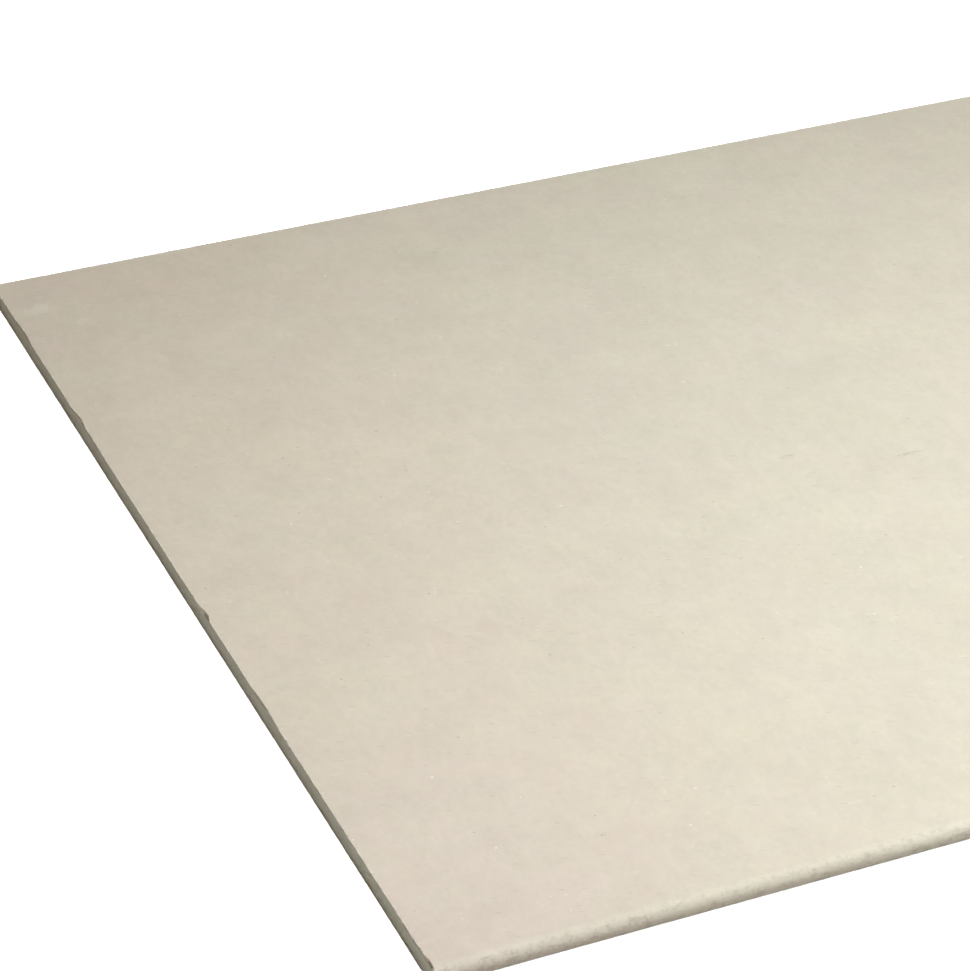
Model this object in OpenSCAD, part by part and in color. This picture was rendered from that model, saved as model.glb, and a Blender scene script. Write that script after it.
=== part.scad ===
// Drywall sheet: a gypsum core cast between two papers. The face paper wraps the half-round
// long edges and folds under the back, where the back paper laps over the fold. Both ends
// are cut square, so the core and the paper edges show there.
// The origin is the middle of the back, +X runs along the sheet and +Z is the face side.

/* [Sheet] */
// Length between the two cut ends
sheet_l = 2000; // [900:50:3000]
// Width between the two paper-bound long edges
sheet_w = 600; // [400:50:1250]
// Thickness over both papers
sheet_t = 9.5; // [6:0.5:15]

/* [Paper] */
// Thickness of the face paper
face_paper_t = 0.4; // [0.25:0.05:0.6]
// Thickness of the back paper
back_paper_t = 0.3; // [0.2:0.05:0.6]
// How far the face paper reaches in under the back, from the long edge
fold_w = 28; // [24:1:60]
// Distance from the long edge to the edge of the back paper
back_margin = 14; // [12:1:20]
// Length of the slope where the fold dips under the back paper
dip_l = 2; // [1:0.5:2]

/* [Chips] */
// Smallest thickness that a chip leaves below it
chip_floor = 3; // [1:0.5:4]

/* [Hidden] */
$fn = 96;
past = 1;               // how far a cutting shape runs past what it cuts
edge_r = sheet_t / 2;   // the long edges are half rounds
// Where the face paper's fold turns, measured from the middle of the sheet
fold_lap = sheet_w / 2 - back_margin;   // the back paper starts to cover the fold
fold_foot = fold_lap + dip_l;           // the fold starts to dip
fold_join = fold_foot + dip_l / 2;      // the fold is level with the back from here out
fold_root = fold_foot + dip_l;          // where the drawn fold runs into the wrap
fold_end = sheet_w / 2 - fold_w;        // the fold ends under the back paper
NEAR = -1;              // the long edge at -Y
FAR = 1;                // the long edge at +Y
// Chips out of the face's edge at the -X cut end:
// [long edge it is measured from, distance from that edge, length, depth]
CHIPS = [
    [NEAR, 6, 14, 0.8],
    [NEAR, 188, 38, 0.55],
    [NEAR, 266, 17, 1.2],
    [FAR, 151, 24, 0.9],
    [FAR, 57, 36, 0.7],
];

// Outline of the sheet's section, taken in by the same amount all round.
module section_outline(inset) {
    translate([edge_r - sheet_w / 2, inset])
        square([sheet_w - 2 * edge_r, sheet_t - 2 * inset]);
    for (side = [NEAR, FAR])
        translate([side * (sheet_w / 2 - edge_r), edge_r])
            circle(r = edge_r - inset);
}

// An outline drawn counter-clockwise for the far long edge, or its mirror image for the
// near one, which runs counter-clockwise too.
function at_edge(side, outline) = side == FAR
    ? outline
    : [for (i = [len(outline) - 1:-1:0]) [-outline[i][0], outline[i][1]]];

// The face paper's fold at one long edge: level with the back at first, then dipping under
// the back paper.
module fold_section(side) {
    polygon(at_edge(side, [
        [fold_end, back_paper_t],
        [fold_lap, back_paper_t],
        [fold_foot, 0],
        [fold_root, 0],
        [fold_root, face_paper_t],
        [fold_foot, face_paper_t],
        [fold_lap, back_paper_t + face_paper_t],
        [fold_end, back_paper_t + face_paper_t],
    ]));
}

// The gap under the fold's slope, beside the edge of the back paper.
module gap_section(side) {
    polygon(at_edge(side, [[fold_lap, 0], [fold_foot, 0], [fold_lap, back_paper_t]]));
}

module face_paper_section() {
    difference() {
        section_outline(0);
        section_outline(face_paper_t);
        // the open back between the two folds
        translate([-fold_join, -past])
            square([2 * fold_join, past + face_paper_t]);
    }
    for (side = [NEAR, FAR])
        fold_section(side);
}

module back_paper_section() {
    translate([back_margin - sheet_w / 2, 0])
        square([sheet_w - 2 * back_margin, back_paper_t]);
}

module core_section() {
    difference() {
        section_outline(0);
        face_paper_section();
        back_paper_section();
        for (side = [NEAR, FAR])
            gap_section(side);
    }
}

// Runs a section, drawn across the sheet, along its whole length.
module along_sheet() {
    translate([-sheet_l / 2, 0, 0])
        rotate([90, 0, 90])
            linear_extrude(height = sheet_l)
                children();
}

// A scoop out of the edge between the face and the -X cut end.
module chip(side, distance, length, depth) {
    scoop_r = (length * length / 4 + depth * depth) / (2 * depth);
    away = (scoop_r - depth) / sqrt(2);
    translate([-sheet_l / 2 - away, side * (sheet_w / 2 - distance), sheet_t + away])
        sphere(r = scoop_r);
}

module chipped() {
    difference() {
        children();
        intersection() {
            union()
                for (c = CHIPS)
                    chip(c[0], c[1], c[2], c[3]);
            translate([-sheet_l / 2 - past, -sheet_w / 2, chip_floor])
                cube([sheet_l, sheet_w, sheet_t]);
        }
    }
}

module gypsum_core() {
    color("#cfc8b8")
        chipped()
            along_sheet()
                core_section();
}

module face_paper() {
    color("#dcd2c0")
        chipped()
            along_sheet()
                face_paper_section();
}

module back_paper() {
    color("#a89c8a")
        along_sheet()
            back_paper_section();
}

gypsum_core();
face_paper();
back_paper();
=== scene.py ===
"""A sheet of drywall, lying face up on a studio floor.

A cast gypsum core lies between two papers. The face paper wraps the two long edges and folds
in under the back, and the back paper covers the fold. The two ends are cut square, so they
bare the core, the papers' edges and the small damage of the cut.

Lengths are in metres. +X runs along the sheet, +Y across it, and +Z out of its face.
"""

import logging
import math
from dataclasses import dataclass, field
from enum import Enum
from functools import cached_property
from itertools import pairwise
from typing import Any, Callable, NamedTuple, Sequence

import bpy
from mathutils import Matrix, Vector, noise


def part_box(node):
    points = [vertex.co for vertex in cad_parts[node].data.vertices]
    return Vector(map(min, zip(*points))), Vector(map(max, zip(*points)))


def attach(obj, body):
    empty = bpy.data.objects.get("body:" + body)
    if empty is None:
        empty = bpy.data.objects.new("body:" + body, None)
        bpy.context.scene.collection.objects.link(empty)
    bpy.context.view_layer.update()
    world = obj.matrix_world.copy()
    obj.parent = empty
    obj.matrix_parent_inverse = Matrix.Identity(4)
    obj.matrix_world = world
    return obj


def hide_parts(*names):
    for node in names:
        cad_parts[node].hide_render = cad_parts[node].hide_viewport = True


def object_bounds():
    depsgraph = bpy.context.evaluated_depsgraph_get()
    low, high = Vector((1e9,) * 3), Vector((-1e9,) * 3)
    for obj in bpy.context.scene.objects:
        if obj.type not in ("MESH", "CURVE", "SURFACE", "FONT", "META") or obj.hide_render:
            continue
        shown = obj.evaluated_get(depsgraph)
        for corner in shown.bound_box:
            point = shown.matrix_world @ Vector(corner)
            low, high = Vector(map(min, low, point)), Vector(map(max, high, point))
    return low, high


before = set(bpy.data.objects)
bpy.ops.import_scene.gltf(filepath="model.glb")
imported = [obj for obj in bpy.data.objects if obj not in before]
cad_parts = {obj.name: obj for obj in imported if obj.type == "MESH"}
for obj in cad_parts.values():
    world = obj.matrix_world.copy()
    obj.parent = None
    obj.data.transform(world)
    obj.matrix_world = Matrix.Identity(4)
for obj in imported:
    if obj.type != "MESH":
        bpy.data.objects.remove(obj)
CAD_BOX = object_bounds()

LOG = logging.getLogger("drywall_sheet")
MM = 0.001
NOISE_FALL, NOISE_GROWTH = 1.0, 2.0
BODY = "root"

Colour = tuple[float, float, float]
Triple = tuple[float, float, float]
Range = tuple[float, float]
Column = tuple[float, int]
Socket = bpy.types.NodeSocket
Material = bpy.types.Material
Piece = bpy.types.Object


class Slot(Enum):
    """The record's material slots."""

    GYPSUM = "gypsum"
    FACE_PAPER = "face_paper"
    BACK_PAPER = "back_paper"


class Side(Enum):
    """The low or the high side of an axis."""

    LOW = -1
    HIGH = 1


# ---------------------------------------------------------------- sizes


@dataclass(frozen=True)
class SheetSizes:
    """The sheet's sizes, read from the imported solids."""

    length: float
    width: float
    thickness: float
    face_paper: float
    back_paper: float
    back_margin: float
    fold_width: float = 28 * MM
    dip_length: float = 2 * MM

    @classmethod
    def from_frame(cls) -> "SheetSizes":
        """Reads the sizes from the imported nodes' boxes.

        Returns:
            The sizes.
        """
        low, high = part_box("face_paper")
        core_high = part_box("gypsum_core")[1]
        back_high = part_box("back_paper")[1]
        return cls(
            length=high.x - low.x,
            width=high.y - low.y,
            thickness=high.z - low.z,
            face_paper=high.z - core_high.z,
            back_paper=back_high.z,
            back_margin=high.y - back_high.y,
        )

    @property
    def edge_radius(self) -> float:
        """Radius of the half-round long edges."""
        return self.thickness / 2

    @property
    def bend_y(self) -> float:
        """Distance from the middle to where a long edge starts to bend."""
        return self.width / 2 - self.edge_radius

    @property
    def lap_y(self) -> float:
        """Distance from the middle to the edge of the back paper."""
        return self.width / 2 - self.back_margin

    @property
    def foot_y(self) -> float:
        """Distance from the middle to where the fold starts to dip."""
        return self.lap_y + self.dip_length

    @property
    def fold_end_y(self) -> float:
        """Distance from the middle to the end of the fold."""
        return self.width / 2 - self.fold_width


# ---------------------------------------------------------------- shape of the surfaces


@dataclass(frozen=True)
class Wave:
    """A smooth noise over the sheet.

    Attributes:
        strength: About how far it swings each way.
        size: Size of its largest waves.
        octaves: Number of finer layers.
    """

    strength: float
    size: float
    octaves: int = 2

    def at(self, x: float, y: float, seed: float) -> float:
        """Its value at a place.

        Args:
            x: First coordinate.
            y: Second coordinate.
            seed: Picks another pattern.

        Returns:
            The value.
        """
        place = Vector((x / self.size, y / self.size, seed))
        return self.strength * noise.fractal(place, NOISE_FALL, NOISE_GROWTH, self.octaves)


@dataclass(frozen=True)
class FaceRelief:
    """How far the face lies below the sheet's full thickness."""

    clearance: float = 0.12 * MM
    slow: Wave = Wave(0.07 * MM, 180 * MM)
    slow_stretch: float = 1.6
    fine: Wave = Wave(0.02 * MM, 14 * MM)
    fine_stretch: float = 0.5
    dent: Wave = Wave(0.03 * MM, 45 * MM, 3)
    seed: float = 3.7

    def depth(self, x: float, y: float) -> float:
        """Depth of the face at a place, at least zero.

        Args:
            x: Place along the sheet.
            y: Place across it.

        Returns:
            The depth.
        """
        slow = self.slow.at(x, y * self.slow_stretch, self.seed)
        fine = self.fine.at(x * self.fine_stretch, y, self.seed + 9)
        return max(0.0, self.clearance + slow + fine)

    def edge_dent(self, x: float, side: Side) -> float:
        """How far a long edge is pressed in at a place along it."""
        return self.dent.strength + self.dent.at(x, side.value, self.seed + 5)


@dataclass(frozen=True)
class Chip:
    """A bite out of the edge between the face and a cut end.

    Attributes:
        edge: The long edge that the distance is measured from.
        distance: Distance from that edge to the middle of the chip.
        length: Length along the cut.
        reach: How far it reaches into the face.
        lean: Where its deepest point lies, from -1 at its low end to 1 at its high end.
        curve: How pointed it is.
    """

    edge: Side
    distance: float
    length: float
    reach: float
    lean: float
    curve: float = 1.5

    def bite(self, y: float, half_width: float) -> float:
        """How far the chip reaches into the face at y.

        Args:
            y: Place along the cut.
            half_width: Half the sheet's width.

        Returns:
            The distance, which is 0 beside the chip.
        """
        middle = self.edge.value * (half_width - self.distance)
        t = 2 * (y - middle) / self.length
        if abs(t) >= 1:
            return 0.0
        share = (t + 1) / (self.lean + 1) if t < self.lean else (1 - t) / (1 - self.lean)
        return self.reach * math.sin(share * math.pi / 2) ** self.curve


@dataclass(frozen=True)
class CutEnd:
    """One square-cut end of the sheet: where the cut runs, how rough it is, and its chips."""

    side: Side
    sizes: SheetSizes
    chips: tuple[Chip, ...]
    seed: float
    fade_length: float = 9 * MM
    # Where the cut runs, inside the end's plane.
    depth: float = 0.09 * MM
    least_depth: float = 0.02 * MM
    slow: Wave = Wave(0.07 * MM, 130 * MM, 1)
    quick: Wave = Wave(0.05 * MM, 11 * MM)
    # The face paper's torn edge, more ragged in a chip than beside it.
    ragged: float = 0.04 * MM
    fray: Wave = Wave(0.11 * MM, 3.2 * MM, 3)
    tear: Wave = Wave(0.2 * MM, 1.8 * MM)
    full_tear: float = 0.5 * MM
    # The core's cut face: grain, pits, and streaks that run down it.
    scoop_slope: float = 1.15
    scoop_curve: float = 0.85
    least_scoop: float = 0.01 * MM
    grain: float = 0.045 * MM
    grain_size: float = 1.6 * MM
    grain_octaves: int = 3
    pit: float = 0.45 * MM
    pit_size: float = 2.3 * MM
    pit_limit: float = 0.35
    streak: Wave = Wave(0.04 * MM, 7 * MM)
    streak_stretch: float = 0.12

    def wander(self, y: float) -> float:
        """How far inside the end's plane the cut runs at y."""
        swing = self.slow.at(y, 0, self.seed) + self.quick.at(y, 1, self.seed)
        return max(self.least_depth, self.depth + swing)

    def bite(self, y: float) -> float:
        """How far the chips reach into the face at y."""
        return max([c.bite(y, self.sizes.width / 2) for c in self.chips] + [0.0])

    def paper_inset(self, y: float) -> float:
        """How far inside the end's plane the face paper ends, ragged as torn fibre.

        Args:
            y: Place along the cut.

        Returns:
            The distance.
        """
        bite = self.bite(y)
        ragged = self.ragged + self.fray.at(y, 2, self.seed)
        torn = min(1.0, bite / self.full_tear) * self.tear.at(y, 3, self.seed)
        return self.wander(y) + bite + max(0.0, ragged + torn)

    def core_inset(self, y: float, z: float) -> float:
        """How far inside the end's plane the core's cut face lies at a place on it.

        Args:
            y: Place along the cut.
            z: Height on the cut face.

        Returns:
            The distance.
        """
        top = self.sizes.thickness - self.sizes.face_paper
        bite = self.bite(y)
        slope = max(bite * self.scoop_slope, self.least_scoop)
        scoop = bite * max(0.0, 1 - (top - z) / slope) ** self.scoop_curve
        grain = noise.fractal(Vector((y, z, self.seed)) / self.grain_size, NOISE_FALL,
                              NOISE_GROWTH, self.grain_octaves)
        pits = noise.noise(Vector((y, z, self.seed + 40)) / self.pit_size) - self.pit_limit
        run = z * self.streak_stretch
        streak = self.streak.strength + self.streak.at(y, run, self.seed + 3)
        rough = self.grain * (1 + grain) + self.pit * max(0.0, pits) + streak
        return self.wander(y) + scoop + rough

    def x(self, inset: float, distance: float = 0.0) -> float:
        """The x of a line at some distance from the cut, which follows it less and less.

        Args:
            inset: How far inside the end's plane the cut itself lies.
            distance: How far inside that plane the line lies.

        Returns:
            The line's x in the sheet's frame.
        """
        follow = max(0.0, 1 - distance / self.fade_length)
        return self.side.value * (self.sizes.length / 2 - distance - inset * follow)


# ---------------------------------------------------------------- meshes from rows of points


@dataclass(frozen=True)
class Line:
    """A row of a mesh across the sheet.

    Attributes:
        distance: Distance from the nearer cut end.
        side: The end that it is measured from.
        level: How coarse it is: it keeps the stations whose own level is at least this.
    """

    distance: float
    side: Side
    level: int


@dataclass(frozen=True)
class Spacing:
    """How the lines across a piece lie along it, dense near both ends.

    Attributes:
        first_step: Distance between the first two lines at an end.
        growth: How much longer each next step is.
        longest: The longest step.
        fine_until: Distances from the end at which the lines turn one level coarser.
    """

    first_step: float
    growth: float
    longest: float
    fine_until: tuple[float, ...]

    def lines(self, length: float) -> list[Line]:
        """The lines of a piece of some length, from its low end to its high one.

        Args:
            length: The piece's length.

        Returns:
            The lines, in order of x.
        """
        distances, step = [0.0], self.first_step
        while distances[-1] + step < length / 2 - self.longest / 2:
            distances.append(distances[-1] + step)
            step = min(step * self.growth, self.longest)
        half = [(d, sum(d > limit for limit in self.fine_until)) for d in distances]
        low = [Line(d, Side.LOW, level) for d, level in half]
        middle = Line(length / 2, Side.LOW, len(self.fine_until))
        high = [Line(d, Side.HIGH, level) for d, level in reversed(half)]
        return low + [middle] + high


def columns_across(half_width: float, count: int, coarsest: int) -> list[Column]:
    """Even columns over a width.

    Args:
        half_width: Half the width.
        count: Number of spaces between the columns.
        coarsest: The coarsest level of line.

    Returns:
        Each column's y, with the coarsest level of line that keeps it.
    """
    columns = []
    for k in range(count + 1):
        level = 0
        while level < coarsest and k % 2 ** (level + 1) == 0:
            level += 1
        columns.append((half_width * (2 * k / count - 1), level))
    return columns


class Ring(NamedTuple):
    """A section of a flat piece: two rows of points, and where the points lie along them."""

    upper: list[int]
    lower: list[int]
    at: list[float]


def linked(name: str, data: Any) -> Piece:
    """A new object that holds some data, linked to the scene.

    Args:
        name: The object's name.
        data: A mesh, a light or a camera.

    Returns:
        The object.
    """
    made = bpy.data.objects.new(name, data)
    bpy.context.scene.collection.objects.link(made)
    return made


@dataclass
class RowMesh:
    """A mesh made by bridging rows of points."""

    name: str
    points: list[Vector] = field(default_factory=list)
    faces: list[tuple[int, ...]] = field(default_factory=list)
    wears: list[int] = field(default_factory=list)

    def row(self, places: Sequence[Vector]) -> list[int]:
        """Adds a row of points and returns their numbers.

        Args:
            places: The points.

        Returns:
            Their numbers.
        """
        first = len(self.points)
        self.points.extend(places)
        return list(range(first, len(self.points)))

    def face(self, corners: Sequence[int], flip: bool = False, wear: int = 0) -> None:
        """Adds a face, turned round if asked.

        Args:
            corners: Numbers of its points.
            flip: Whether to turn it round.
            wear: Number of the material that it wears.
        """
        self.faces.append(tuple(reversed(corners)) if flip else tuple(corners))
        self.wears.append(wear)

    def bridge(self, one: Sequence[int], two: Sequence[int], at_one: Sequence[float] = (),
               at_two: Sequence[float] = (), flip: bool = False, wear: int = 0) -> None:
        """Joins two rows with faces, as quads where their points pair up.

        Args:
            one: The first row.
            two: The second row.
            at_one: Where the first row's points lie along it, where the rows differ.
            at_two: Where the second row's points lie along it.
            flip: Whether to turn the faces round.
            wear: Number of the material that they wear.
        """
        if len(one) == len(two):
            for k in range(len(one) - 1):
                self.face((one[k], two[k], two[k + 1], one[k + 1]), flip, wear)
            return
        i = j = 0
        while i < len(one) - 1 or j < len(two) - 1:
            last_one, last_two = i == len(one) - 1, j == len(two) - 1
            if last_two or (not last_one and at_one[i + 1] <= at_two[j + 1]):
                self.face((one[i], two[j], one[i + 1]), flip, wear)
                i += 1
            else:
                self.face((one[i], two[j], two[j + 1]), flip, wear)
                j += 1

    def sleeve(self, rings: Sequence[Ring], rim: int = 0) -> None:
        """Joins rings all round, each to the next.

        Args:
            rings: The rings, from the low end to the high one.
            rim: Number of the material that the two long rims wear.
        """
        for last, ring in pairwise(rings):
            self.bridge(last.upper, ring.upper, last.at, ring.at)
            self.bridge(last.lower, ring.lower, last.at, ring.at, flip=True)
            self.face((last.upper[0], last.lower[0], ring.lower[0], ring.upper[0]), wear=rim)
            self.face((last.upper[-1], ring.upper[-1], ring.lower[-1], last.lower[-1]), wear=rim)

    def mesh(self) -> bpy.types.Mesh:
        """The bare mesh.

        Returns:
            The mesh, without its materials.
        """
        mesh = bpy.data.meshes.new(self.name)
        mesh.from_pydata([tuple(p) for p in self.points], [], self.faces)
        return mesh

    def make(self, materials: Sequence[Material], sharp: float = 40) -> Piece:
        """Makes the object.

        Args:
            materials: Its materials, in the order that the faces name them.
            sharp: Edges that turn by more than this many degrees are drawn sharp.

        Returns:
            The object, linked to the scene.
        """
        mesh = self.mesh()
        for material in materials:
            mesh.materials.append(material)
        mesh.polygons.foreach_set("material_index", self.wears)
        mesh.polygons.foreach_set("use_smooth", [True] * len(self.faces))
        mesh.set_sharp_from_angle(angle=math.radians(sharp))
        mesh.validate()
        return linked(self.name, mesh)


# ---------------------------------------------------------------- nodes


@dataclass(frozen=True)
class Cloud:
    """A noise drawn over the sheet.

    Attributes:
        size: Size of its largest blots.
        detail: Number of finer layers.
        roughness: How strong each finer layer is beside the last.
        shift: Moves it, so that no two clouds are alike.
        stretch: Squeezes it along an axis where this is above 1.
    """

    size: float
    detail: float
    roughness: float
    shift: Triple = (0, 0, 0)
    stretch: Triple = (1, 1, 1)


@dataclass(frozen=True)
class Flecks:
    """Small flecks or fibres of one tone, scattered over the sheet.

    Attributes:
        spacing: Size of the cells, which hold at most one fleck each.
        size: Radius of the largest flecks.
        share: Share of the cells that have one.
        tone: Their colour.
        strength: How well they cover what lies under them.
    """

    spacing: float
    size: float
    share: float
    tone: Colour
    strength: float


@dataclass(frozen=True)
class Bump:
    """A bumpiness of the surface: its cloud, how much of it shows and how deep it is."""

    cloud: Cloud
    strength: float
    depth: float


class Pattern(NamedTuple):
    """What a cloud gives: one value of 0 to 1, and three in a colour."""

    value: Socket
    hues: Socket


class NodeBoard:
    """A node tree with short ways to add nodes and link them."""

    def __init__(self, tree: bpy.types.NodeTree) -> None:
        """Starts on an empty tree.

        Args:
            tree: The tree to fill.
        """
        self.tree = tree
        tree.nodes.clear()

    def add(self, kind: str, inputs: dict[Any, Any] | None = None,
            **settings: Any) -> bpy.types.Node:
        """Adds a node.

        Args:
            kind: The node's type.
            inputs: Values, or output sockets to link, by the input's name or number.
            settings: The node's own settings.

        Returns:
            The node.
        """
        node = self.tree.nodes.new(kind)
        for name, value in settings.items():
            setattr(node, name, value)
        for name, value in (inputs or {}).items():
            if isinstance(value, Socket):
                self.tree.links.new(value, node.inputs[name])
            else:
                node.inputs[name].default_value = value
        return node

    def out(self, kind: str, output: str | int, inputs: dict[Any, Any] | None = None,
            **settings: Any) -> Socket:
        """Adds a node, told as for add, and returns one of its outputs."""
        return self.add(kind, inputs, **settings).outputs[output]

    def maths(self, operation: str, *values: Any) -> Socket:
        """One step of arithmetic."""
        return self.out("ShaderNodeMath", "Value", dict(enumerate(values)), operation=operation)

    def vector(self, operation: str, *values: Any, output: str = "Vector") -> Socket:
        """One step of arithmetic on vectors."""
        return self.out("ShaderNodeVectorMath", output, dict(enumerate(values)),
                        operation=operation)

    def joined(self, x: Any, y: Any, z: Any) -> Socket:
        """A vector made of three numbers."""
        return self.out("ShaderNodeCombineXYZ", "Vector", {0: x, 1: y, 2: z})


class FinishBoard(NodeBoard):
    """A material's nodes, with the place on the sheet and the patterns drawn over it."""

    @cached_property
    def place(self) -> Socket:
        """The place on the sheet."""
        return self.out("ShaderNodeTexCoord", "Object")

    def coordinate(self, axis: str) -> Socket:
        """The place along one axis."""
        return self.out("ShaderNodeSeparateXYZ", axis, {"Vector": self.place})

    def moved(self, shift: Triple, stretch: Triple = (1, 1, 1), turn: float = 0.0,
              place: Socket | None = None) -> Socket:
        """A place, stretched, turned and then shifted.

        Args:
            shift: How far to shift it.
            stretch: How much to stretch it.
            turn: How far to turn it about the vertical.
            place: The place, if it isn't the one on the sheet.

        Returns:
            The new place.
        """
        return self.out("ShaderNodeMapping", "Vector", {
            "Vector": self.place if place is None else place,
            "Location": shift, "Rotation": (0, 0, turn), "Scale": stretch})

    def cloud(self, cloud: Cloud) -> Pattern:
        """Draws a cloud.

        Args:
            cloud: The cloud.

        Returns:
            What it gives.
        """
        node = self.add("ShaderNodeTexNoise", {
            "Vector": self.moved(cloud.shift, cloud.stretch), "Scale": 1 / cloud.size,
            "Detail": cloud.detail, "Roughness": cloud.roughness})
        return Pattern(node.outputs["Fac"], node.outputs["Color"])

    def ramp(self, value: Socket, low: float, high: float, top: float = 1.0) -> Socket:
        """A value, mapped smoothly from a range to 0 to a top, and held at its ends.

        Args:
            value: The value.
            low: Where the result is 0.
            high: Where it reaches its top.
            top: The top.

        Returns:
            The result.
        """
        return self.out("ShaderNodeMapRange", "Result", {
            "Value": value, "From Min": low, "From Max": high, "To Min": 0.0, "To Max": top},
            interpolation_type="SMOOTHSTEP")

    def flecks(self, flecks: Flecks, place: Socket) -> Socket:
        """A mask that is 1 in a fleck and 0 elsewhere.

        Args:
            flecks: The flecks.
            place: The place that they are drawn over.

        Returns:
            The mask.
        """
        cell = self.add("ShaderNodeTexVoronoi", {
            "Vector": place, "Scale": 1 / flecks.spacing, "Randomness": 0.8}).outputs
        chance = self.out("ShaderNodeSeparateColor", "Red", {"Color": cell["Color"]})
        picked = self.ramp(chance, 1 - flecks.share, 1 - flecks.share * 0.6)
        radius = flecks.size / flecks.spacing
        reach = self.maths("MULTIPLY", picked, radius)
        return self.ramp(self.maths("SUBTRACT", reach, cell["Distance"]), 0.0, 0.35 * radius)

    def covered(self, under: Socket, over: Colour, *masks: Any, blend: str = "MIX") -> Socket:
        """A colour with another over it.

        Args:
            under: The colour.
            over: The other colour.
            masks: Their product says how well the other covers it.
            blend: How the two are blended.

        Returns:
            The new colour.
        """
        share = masks[0]
        for mask in masks[1:]:
            share = self.maths("MULTIPLY", share, mask)
        return self.out("ShaderNodeMix", 2, {"Factor": share, 6: under, 7: (*over, 1)},
                        data_type="RGBA", blend_type=blend)

    def flecked(self, colour: Socket, flecks: Flecks, place: Socket) -> Socket:
        """A colour with flecks over it."""
        return self.covered(colour, flecks.tone, self.flecks(flecks, place), flecks.strength)

    def tinted(self, colour: Any, pattern: Socket, strength: Colour) -> Socket:
        """A colour, made lighter and darker in each channel by three noises.

        Args:
            colour: The colour.
            pattern: The noises, of about 0 to 1 with a mean of a half.
            strength: How much a noise of 1 adds to each channel, as a share.

        Returns:
            The new colour.
        """
        low = tuple(1 - s / 2 for s in strength)
        return self.vector("MULTIPLY", colour, self.vector("MULTIPLY_ADD", pattern, strength, low))

    def bump(self, height: Socket, strength: float, depth: float, over: Socket | None = None,
             invert: bool = False) -> Socket:
        """A bump.

        Args:
            height: Its pattern.
            strength: How much of it shows.
            depth: How deep it is.
            over: The bump that it lies on.
            invert: Whether the pattern is pressed in.

        Returns:
            The bumpy normal.
        """
        inputs = {"Height": height, "Strength": strength, "Distance": depth}
        if over is not None:
            inputs["Normal"] = over
        return self.out("ShaderNodeBump", "Normal", inputs, invert=invert)

    def bumps(self, *bumps: Bump) -> Socket:
        """Bumps drawn over the sheet, each on the one before.

        Args:
            bumps: The bumps.

        Returns:
            The bumpy normal.
        """
        normal = None
        for bump in bumps:
            normal = self.bump(self.cloud(bump.cloud).value, bump.strength, bump.depth, normal)
        return normal


# ---------------------------------------------------------------- finishes


@dataclass(frozen=True)
class Finish:
    """What every finish has: its colour, and how rough, shiny and fuzzy it is."""

    name: str
    colour: Colour
    roughness: float
    specular: float
    sheen: float = 0.0

    def material(self) -> Material:
        """Makes the finish's material.

        Returns:
            The material.
        """
        made = bpy.data.materials.new(self.name)
        made.use_nodes = True
        board = FinishBoard(made.node_tree)
        board.add("ShaderNodeOutputMaterial", {"Surface": self.surface(board)})
        return made

    def surface(self, board: FinishBoard) -> Socket:
        """Builds the finish's shader: one plain colour, unless a finish has its own."""
        return self.shader(board, (*self.colour, 1))

    def shader(self, board: FinishBoard, colour: Any, normal: Socket | None = None) -> Socket:
        """The shader itself.

        Args:
            board: The material's nodes.
            colour: The surface's colour.
            normal: Its bumps.

        Returns:
            The shader's output.
        """
        inputs = {"Base Color": colour, "Roughness": self.roughness,
                  "Specular IOR Level": self.specular, "Sheen Weight": self.sheen}
        if normal is not None:
            inputs["Normal"] = normal
        return board.out("ShaderNodeBsdfPrincipled", "BSDF", inputs)


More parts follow.
